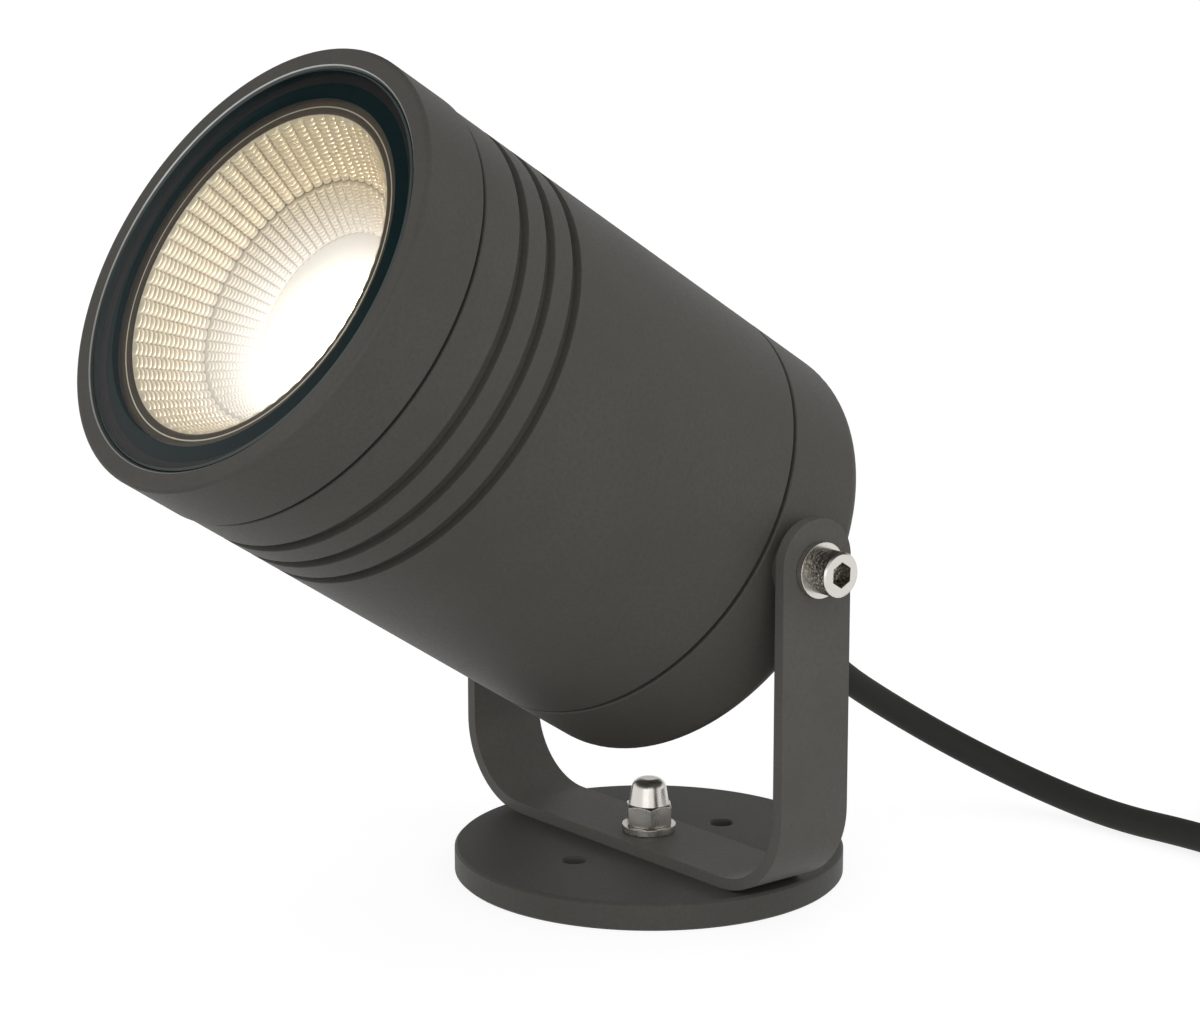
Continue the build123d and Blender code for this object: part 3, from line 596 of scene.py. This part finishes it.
class SPOTLIGHT_OT_stage(bpy.types.Operator):
    """Camera at the photograph's place, white floor, world and two soft boxes"""

    bl_idname = "spotlight.stage"
    bl_label = "Stage"

    key_place, key_side = (1.1, -0.4, 0.62), 1.1
    fill_place, fill_side = (0.6, -1.05, 0.12), 0.8
    floor_half = 8
    floor_glow, floor_seen, floor_unseen = 0.86, 0.24, 0.3
    white_below, dark_above = math.radians(15.5), math.radians(28.3)

    def execute(self, context):
        stage = context.scene.spotlight.stage
        self.camera(context.scene, stage)
        self.floor(context.scene)
        self.world(context.scene, stage)
        self.soft_box(context.scene, "key", stage.key, self.key_place, self.key_side)
        self.soft_box(context.scene, "fill", stage.fill, self.fill_place, self.fill_side)
        context.scene.view_settings.view_transform = "Standard"
        return {"FINISHED"}

    def camera(self, scene, stage):
        level = math.cos(stage.elevation)
        back = Vector((math.sin(stage.azimuth) * level, -math.cos(stage.azimuth) * level,
                       math.sin(stage.elevation)))
        data = bpy.data.cameras.new("camera")
        data.lens = stage.lens
        data.sensor_width = 36
        data.clip_start = 0.01
        camera = bpy.data.objects.new("camera", data)
        camera.location = Vector(stage.aim) + back * stage.distance
        camera.rotation_euler = (-back).to_track_quat("-Z", "Y").to_euler()
        scene.collection.objects.link(camera)
        scene.camera = camera

    def seen(self, tree):
        """1 for rays that show a thing: from the camera, off a gloss or through glass."""
        path = add(tree, "LightPath")
        shown = add(tree, "Math", {"Value": path.outputs["Is Camera Ray"],
                                   "Value_001": path.outputs["Is Glossy Ray"]}, operation="MAXIMUM")
        return add(tree, "Math", {"Value": shown.outputs[0],
                                  "Value_001": path.outputs["Is Transmission Ray"]},
                   operation="MAXIMUM").outputs[0]

    def floor(self, scene):
        """White where it is seen, but for the part's shadow, and grey for the light it throws."""
        material, tree, surface = new_material("studio floor, white")
        pale = add(tree, "BsdfDiffuse", {"Color": (*[self.floor_unseen] * 3, 1)}).outputs[0]
        faint = add(tree, "BsdfDiffuse", {"Color": (*[self.floor_seen] * 3, 1)}).outputs[0]
        glow = add(tree, "Emission", {"Strength": self.floor_glow}).outputs[0]
        bright = add(tree, "AddShader", {"Shader": faint, "Shader_001": glow}).outputs[0]
        mixed = add(tree, "MixShader", {"Fac": self.seen(tree), "Shader": pale,
                                        "Shader_001": bright})
        tree.links.new(mixed.outputs[0], surface)
        half = self.floor_half
        mesh = bpy.data.meshes.new("floor")
        mesh.from_pydata([(-half, -half, 0), (half, -half, 0), (half, half, 0), (-half, half, 0)],
                         [], [(0, 1, 2, 3)])
        mesh.materials.append(material)
        floor = bpy.data.objects.new("floor", mesh)
        scene.collection.objects.link(floor)

    def world(self, scene, stage):
        """White to the camera, dim for lighting, and dark above for what shiny surfaces mirror."""
        world = bpy.data.worlds.new("studio")
        world.use_nodes = True
        tree = world.node_tree
        tree.nodes.clear()
        ways = add(tree, "TexCoord").outputs["Generated"]
        height = add(tree, "SeparateXYZ", {"Vector": ways}).outputs["Z"]
        level = add(tree, "MapRange", {"Value": height, "From Min": math.sin(self.white_below),
                                       "From Max": math.sin(self.dark_above), "To Min": 1,
                                       "To Max": stage.ceiling}).outputs["Result"]
        path = add(tree, "LightPath")
        inside = add(tree, "Math", {"Value": path.outputs["Is Transmission Ray"],
                                    "Value_001": stage.bowl}, operation="MULTIPLY").outputs[0]
        clear = add(tree, "Math", {"Value": path.outputs["Is Camera Ray"], "Value_001": inside},
                    operation="MAXIMUM").outputs[0]
        shown = add(tree, "Math", {"Value": clear, "Value_001": level},
                    operation="MAXIMUM").outputs[0]
        white = (1, 1, 1, 1)
        bright = add(tree, "Background", {"Color": white, "Strength": shown}).outputs[0]
        soft = add(tree, "Background", {"Color": white, "Strength": stage.ambient}).outputs[0]
        mixed = add(tree, "MixShader", {"Fac": self.seen(tree), "Shader": soft,
                                        "Shader_001": bright})
        output = add(tree, "OutputWorld", {"Surface": mixed.outputs[0]})
        output.is_active_output = True
        scene.world = world

    def soft_box(self, scene, name, power, place, side):
        lamp = bpy.data.lights.new(name, "AREA")
        lamp.energy = power
        lamp.size = side
        box = bpy.data.objects.new(name, lamp)
        box.location = place
        aim = middle("body_tube") - Vector(place)
        box.rotation_euler = aim.to_track_quat("-Z", "Y").to_euler()
        scene.collection.objects.link(box)


class SPOTLIGHT_OT_housing(bpy.types.Operator):
    """Powder coat of the three castings of the head"""

    bl_idname = "spotlight.housing"
    bl_label = "Housing"

    edge_radius = 0.35
    lip = 0.9
    lip_slope = (0.5, 0.9)

    def execute(self, context):
        finishes = context.scene.spotlight.finishes
        coat = powder_coat("aluminium casting, powder coated", finishes.coat, finishes.coat_grain,
                           self.edge_radius)
        finish(coat, "body_tube", "front_ring", "rear_cap")
        # The lip's faces get painted shade and a painted highlight line
        finish_faces(lip_shade_and_highlight(reach("glass")[2] + self.lip * MM), "front_ring", self.on_lip)
        return {"FINISHED"}

    def on_lip(self, centre, normal):
        """Whether a face is on the slope that runs in to the glass."""
        inverse = HEAD.inverted()
        facing = inverse.to_3x3() @ normal
        steepest, flattest = self.lip_slope
        return steepest < facing.z < flattest and facing.xy.dot((inverse @ centre).xy) < 0


class SPOTLIGHT_OT_stand(bpy.types.Operator):
    """Powder coat of the base plate and the bent bracket"""

    bl_idname = "spotlight.stand"
    bl_label = "Base and bracket"

    edge_radius = 0.3

    def execute(self, context):
        finishes = context.scene.spotlight.finishes
        coats = (("bracket", "steel strip, powder coated", finishes.bracket_coat),
                 ("base_plate", "steel plate, powder coated", finishes.base_coat))
        for node, name, colour in coats:
            finish(powder_coat(name, colour, finishes.coat_grain, self.edge_radius), node)
        return {"FINISHED"}


class SPOTLIGHT_OT_hardware(bpy.types.Operator):
    """Bright stainless fasteners outside and zinc plated screws inside"""

    bl_idname = "spotlight.hardware"
    bl_label = "Fasteners"

    knurl_radius = 4.5
    socket_radius = 2.9
    side_tilt = 0.1

    def execute(self, context):
        finish(turned_stainless(), "dome_nut", "base_washer", "base_bolt", "pivot_screws",
               "pivot_washers", "rear_cap_screws")
        finish_faces(knurled_stainless(), "pivot_screws", self.on_knurl)
        finish(zinc_plate(), "heat_plate_screws", "led_holder_screws", "driver_screws")
        return {"FINISHED"}

    def on_knurl(self, centre, normal):
        """Whether a face is on the round side of a pivot screw's head, or in its socket."""
        spread = (centre - pivot).yz.length
        on_side = abs(normal.x) < self.side_tilt and spread > self.knurl_radius * MM
        return on_side or spread < self.socket_radius * MM


class SPOTLIGHT_OT_glass(bpy.types.Operator):
    """Front glass with a ground front edge and a border printed round its back"""

    bl_idname = "spotlight.glass"
    bl_label = "Front glass"

    sides = 160

    def execute(self, context):
        settings = context.scene.spotlight
        back, front, outer = reach("glass")
        chamfer = settings.glass.chamfer
        profile = [(settings.glass.border_radius, back), (outer - chamfer, back),
                   (outer, back + chamfer), (outer, front - chamfer), (outer - chamfer, front),
                   (settings.glass.border_radius, front)]
        rings = [head_ring([radius] * self.sides, height) for radius, height in profile]
        materials = [toughened_glass("toughened glass, coated against glare", "#000000"),
                     ceramic_ink(settings.finishes.border), ground_glass(),
                     toughened_glass("toughened glass, polished", "#FFFFFF")]
        glass = skin("front_glass", rings, materials, bands=[1, 1, 1, 2, 3])
        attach(glass, "head")
        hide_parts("glass")
        return {"FINISHED"}


class SPOTLIGHT_OT_reflector(bpy.types.Operator):
    """Moulded reflector: ribs in two zones, each rib cut into small pillows, with a rolled lip"""

    bl_idname = "spotlight.reflector"
    bl_label = "Reflector"

    rib_samples = 8
    row_samples = 4
    lip_samples = 6
    fade_share = 0.04

    def execute(self, context):
        settings = context.scene.spotlight
        sizes = settings.reflector
        low, top, flange_r = reach("reflector")
        step_height = top - sizes.upper_zone
        throat_height = step_height - sizes.lower_zone
        ledge_r = sizes.step - sizes.step_width
        count = sizes.flutes * self.rib_samples

        wall = Vector((sizes.mouth - sizes.step, sizes.upper_zone)).normalized()
        roll = math.acos(wall.x)
        cut = sizes.lip * math.tan(roll / 2)
        rim = Vector((sizes.mouth, top)) - wall * cut

        def plain(*points):
            return [head_ring([radius] * count, height) for radius, height in points]

        centre = Vector((sizes.mouth + cut, top - sizes.lip))
        turns = [math.pi / 2 + roll * (1 - index / self.lip_samples)
                 for index in range(1, self.lip_samples + 1)]
        under = top - sizes.flange
        throat = plain((sizes.collar, low),
                       ((sizes.collar + sizes.throat) / 2, (low + throat_height) / 2))
        lower = self.zone(sizes, (sizes.throat, throat_height), (ledge_r, step_height),
                          sizes.lower_rows, fade_in=True)
        upper = self.zone(sizes, (sizes.step, step_height), tuple(rim), sizes.upper_rows,
                          fade_out=True)
        lip = plain(*[centre + sizes.lip * Vector((math.cos(turn), math.sin(turn)))
                      for turn in turns])
        # Painted highlight: a flat ring of the metallised finish between the painted dark bands
        ridge = plain((sizes.ridge, top), (sizes.ridge + sizes.highlight_ring_width, top))
        shell = plain((flange_r, top), (flange_r, under), (sizes.mouth + sizes.wall, under),
                      (sizes.step + sizes.wall, step_height - sizes.wall),
                      (sizes.throat + sizes.wall, throat_height - sizes.wall),
                      (sizes.collar + 2 * sizes.wall, low))
        # Slot 1 is painted shade on the flange and a painted dark reflection on the rolled lip, and
        # bare plastic on the hidden back
        metal, bare = 0, 1
        bands = [metal] * (len(throat) + len(lower) + len(upper) - 1)
        bands += [bare] * (1 + len(lip)) + [metal] + [bare] * (1 + len(shell))
        finishes = settings.finishes
        # Centre of the painted glare, a little below the emitter's middle
        down = (head_axis * head_axis.z - Vector((0, 0, 1))).normalized()
        glare = middle("led_emitter") + down * sizes.painted_glare_drop
        # The metallised finish carries painted glare and shade; the dark brown is painted shade and
        # a painted reflection
        materials = [metallised_plastic(finishes.metallising, finishes.light, glare, down),
                     moulded("polycarbonate, painted dark band, bare back", linear("#3A2714"), linear("#523A22"),
                             grain=0.4, roughness=0.35, shine=0.25)]
        rings = throat + lower + upper + lip + ridge + shell
        reflector = skin("fluted_reflector", rings, materials, bands=bands, closed=True)
        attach(reflector, "head")
        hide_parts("reflector")
        return {"FINISHED"}

    def zone(self, sizes, start, end, rows, fade_in=False, fade_out=False):
        """Rings of one fluted zone, from (radius, height) to (radius, height) of its valleys."""
        across = [index / self.rib_samples for index in range(self.rib_samples)]
        bulge = [4 * share * (1 - share) if share else -sizes.valley / sizes.swell
                 for share in across] * sizes.flutes
        rings = []
        for step in range(rows * self.row_samples + 1):
            share = step / (rows * self.row_samples)
            in_row = step / self.row_samples % 1
            pillow = sizes.pillow * 4 * in_row * (1 - in_row)
            swell = sizes.swell
            if fade_out and share > 1 - self.fade_share:
                over = (share - 1 + self.fade_share) / self.fade_share
                swell *= math.sqrt(1 - over ** 2)
                pillow *= 1 - over
            if fade_in and share < self.fade_share:
                swell *= share / self.fade_share
            radius = start[0] + share * (end[0] - start[0]) - pillow
            height = start[1] + share * (end[1] - start[1])
            rings.append(head_ring([radius - swell * part for part in bulge], height))
        return rings


class SPOTLIGHT_OT_light_engine(bpy.types.Operator):
    """Lit emitter, its board, pad, holder and the plate that cools it"""

    bl_idname = "spotlight.light_engine"
    bl_label = "Light engine"

    def execute(self, context):
        finishes = context.scene.spotlight.finishes
        finish(lit_phosphor(finishes.light, finishes.light_strength), "led_emitter")
        finish(milled_aluminium(), "heat_plate")
        finish(moulded("silicone gap pad", linear("#8C8F9A"), linear("#9DA0AA"),
                       grain=0.5, roughness=0.7), "thermal_pad")
        finish(moulded("solder mask, white", linear("#E4E4E0"), linear("#F0F0EC"),
                       grain=0.4, roughness=0.35), "led_board")
        finish(moulded("PBT, white moulded", linear("#DFDEDA"), linear("#EAE9E5"),
                       grain=0.3, roughness=0.45), "led_holder", "terminal_block")
        return {"FINISHED"}


class SPOTLIGHT_OT_wiring(bpy.types.Operator):
    """Driver box and the coloured leads inside the head"""

    bl_idname = "spotlight.wiring"
    bl_label = "Driver and leads"

    lead_colours = (("brown", "#5A3220", "#6B3D27"), ("blue", "#1F5A9E", "#2B69AE"),
                    ("green and yellow", "#B7B424", "#3F8A34"), ("red", "#A5221D", "#B63029"),
                    ("black", "#1B1B1B", "#262626"))

    def execute(self, context):
        finish(moulded("polycarbonate, black moulded", linear("#191A1B"), linear("#232425"),
                       grain=0.4, roughness=0.5), "driver")
        brown, blue, earth, red, black = [
            moulded("PVC, " + name, linear(dark), linear(pale), grain=0.3, roughness=0.4)
            for name, dark, pale in self.lead_colours]
        finish_strands("led_leads", [black, red])
        finish_strands("mains_leads", [brown, earth, blue])
        finish_strands("cable_cores", [brown, earth, blue])
        finish(tinned_copper(), "core_ferrules")
        return {"FINISHED"}


class SPOTLIGHT_OT_seals(bpy.types.Operator):
    """Rubber seals, the cable gland and the strap round the coil"""

    bl_idname = "spotlight.seals"
    bl_label = "Seals and gland"

    def execute(self, context):
        finish(moulded("nitrile rubber, moulded", linear("#1C1C1C"), linear("#282827"),
                       grain=0.5, roughness=0.65),
               "glass_gasket", "front_o_ring", "rear_o_ring", "gland_seal", "gland_washer")
        finish(moulded("nylon, black moulded", linear("#1E1F1F"), linear("#2A2B2A"),
                       grain=0.35, roughness=0.45), "gland_body", "gland_nut", "cable_tie")
        return {"FINISHED"}


class SPOTLIGHT_OT_cable(bpy.types.Operator):
    """Supply cable: down from the gland, along the floor and into its tied coil"""

    bl_idname = "spotlight.cable"
    bl_label = "Cable"

    exit_run = 15.0
    route = ((-0.5, 58.5, 38.0), (1.5, 77.0, 25.3), (10.5, 93.0, 14.0), (28.0, 103.5, 6.0),
             (50.5, 105.5, 3.5), (72.5, 107.6, 4.1), (93.5, 107.6, 4.1))
    bend_start = 2
    turn_points = 24
    half_turns = 4
    tube_sides = 22
    dark_share = 0.85

    def execute(self, context):
        settings = context.scene.spotlight
        sizes = settings.cable
        mouth = HEAD @ Vector((0, 0, reach("gland_nut")[0]))
        points = [mouth, mouth - head_axis * self.exit_run * MM]
        points += [Vector(point) * MM for point in self.route]
        points += self.coil(points[-1], sizes)
        line = self.smooth_line(points)
        rubber = settings.finishes.rubber
        dark = tuple(value * self.dark_share for value in rubber[:3]) + (1,)
        sheath = moulded("rubber, extruded sheath", dark, rubber, grain=0.4, roughness=0.66,
                         shine=0.25)
        finish(sheath, "cable_tail")
        cable = skin("supply_cable", self.tube(line, sizes.diameter / 2), [sheath], crease=50)
        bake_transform(cable)
        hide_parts("cable_run", "cable_coil")
        return {"FINISHED"}

    def coil(self, start, sizes):
        """Control points of the turns: in on the lower layer, up one, and out on the upper."""
        inward = [sizes.coil_radius - index * sizes.coil_pitch / 2
                  for index in range(self.half_turns)]
        radii = inward + [sizes.coil_radius - self.half_turns * sizes.coil_pitch / 2] + inward[::-1]
        centre_x = start.x + sizes.diameter
        y, steps = start.y, self.turn_points // 2
        points = [Vector((centre_x, y, start.z))]
        for half, radius in enumerate(radii):
            centre_y = y + radius if half % 2 == 0 else y - radius
            for index in range(steps):
                share = (index + 0.5) / steps
                angle = math.pi * (half + share) - math.pi / 2
                layer = 0 if half < self.half_turns else 1
                if half == self.half_turns:
                    layer = (1 - math.cos(math.pi * share)) / 2
                points.append(Vector((centre_x + radius * math.cos(angle),
                                      centre_y + radius * math.sin(angle),
                                      start.z + layer * sizes.coil_pitch)))
            y = 2 * centre_y - y
        points.append(Vector((centre_x, y, points[-1].z)))
        points.append(Vector((start.x, y, points[-1].z)))
        return points

    def smooth_line(self, points):
        """Points read along the NURBS line that the route's points control."""
        curve = bpy.data.curves.new("cable_line", "CURVE")
        curve.dimensions = "3D"
        curve.resolution_u = 6
        spline = curve.splines.new("NURBS")
        spline.points.add(len(points) - 1)
        for target, point in zip(spline.points, points):
            target.co = (*point, 1)
        spline.order_u = 3
        spline.use_endpoint_u = True
        holder = bpy.data.objects.new("cable_line", curve)
        mesh = bpy.data.meshes.new_from_object(holder)
        line = [vertex.co.copy() for vertex in mesh.vertices]
        bpy.data.meshes.remove(mesh)
        bpy.data.objects.remove(holder)
        bpy.data.curves.remove(curve)
        return line

    def tube(self, line, radius):
        """Rings of a tube along a line, turned as little as possible from one to the next."""
        rings = []
        side = Vector((1, 0, 0))
        for index, point in enumerate(line):
            ahead = (line[min(index + 1, len(line) - 1)] - line[max(index - 1, 0)]).normalized()
            side = (side - ahead * side.dot(ahead)).normalized()
            other = ahead.cross(side)
            rings.append([point + radius * (math.cos(angle) * side + math.sin(angle) * other)
                          for angle in (2 * math.pi * part / self.tube_sides
                                        for part in range(self.tube_sides))])
        return rings


class SPOTLIGHT_PT_panel(bpy.types.Panel):
    """Sizes, colours and steps of the spotlight"""

    bl_idname = "SPOTLIGHT_PT_panel"
    bl_label = "Spotlight"
    bl_space_type = "VIEW_3D"
    bl_region_type = "UI"
    bl_category = "Spotlight"

    def draw(self, context):
        settings = context.scene.spotlight
        for operator in OPERATORS:
            self.layout.operator(operator.bl_idname)
        for group in (settings.finishes, settings.glass, settings.reflector, settings.cable,
                      settings.stage):
            box = self.layout.box()
            for name in group.bl_rna.properties.keys():
                if name not in ("rna_type", "name"):
                    box.prop(group, name)


GROUPS = (SpotlightFinishes, SpotlightGlass, SpotlightReflector, SpotlightCable, SpotlightStage,
          SpotlightSettings)
OPERATORS = (SPOTLIGHT_OT_stage, SPOTLIGHT_OT_cable, SPOTLIGHT_OT_housing, SPOTLIGHT_OT_stand,
             SPOTLIGHT_OT_hardware, SPOTLIGHT_OT_glass, SPOTLIGHT_OT_reflector,
             SPOTLIGHT_OT_light_engine, SPOTLIGHT_OT_wiring, SPOTLIGHT_OT_seals)


def register():
    for group in GROUPS + OPERATORS + (SPOTLIGHT_PT_panel,):
        bpy.utils.register_class(group)
    bpy.types.Scene.spotlight = PointerProperty(type=SpotlightSettings)


def unregister():
    del bpy.types.Scene.spotlight
    for group in reversed(GROUPS + OPERATORS + (SPOTLIGHT_PT_panel,)):
        bpy.utils.unregister_class(group)


def main():
    register()
    bpy.ops.spotlight.stage()
    bpy.ops.spotlight.cable()
    bpy.ops.spotlight.housing()
    bpy.ops.spotlight.stand()
    bpy.ops.spotlight.hardware()
    bpy.ops.spotlight.glass()
    bpy.ops.spotlight.reflector()
    bpy.ops.spotlight.light_engine()
    bpy.ops.spotlight.wiring()
    bpy.ops.spotlight.seals()


if __name__ == "__main__":
    main()
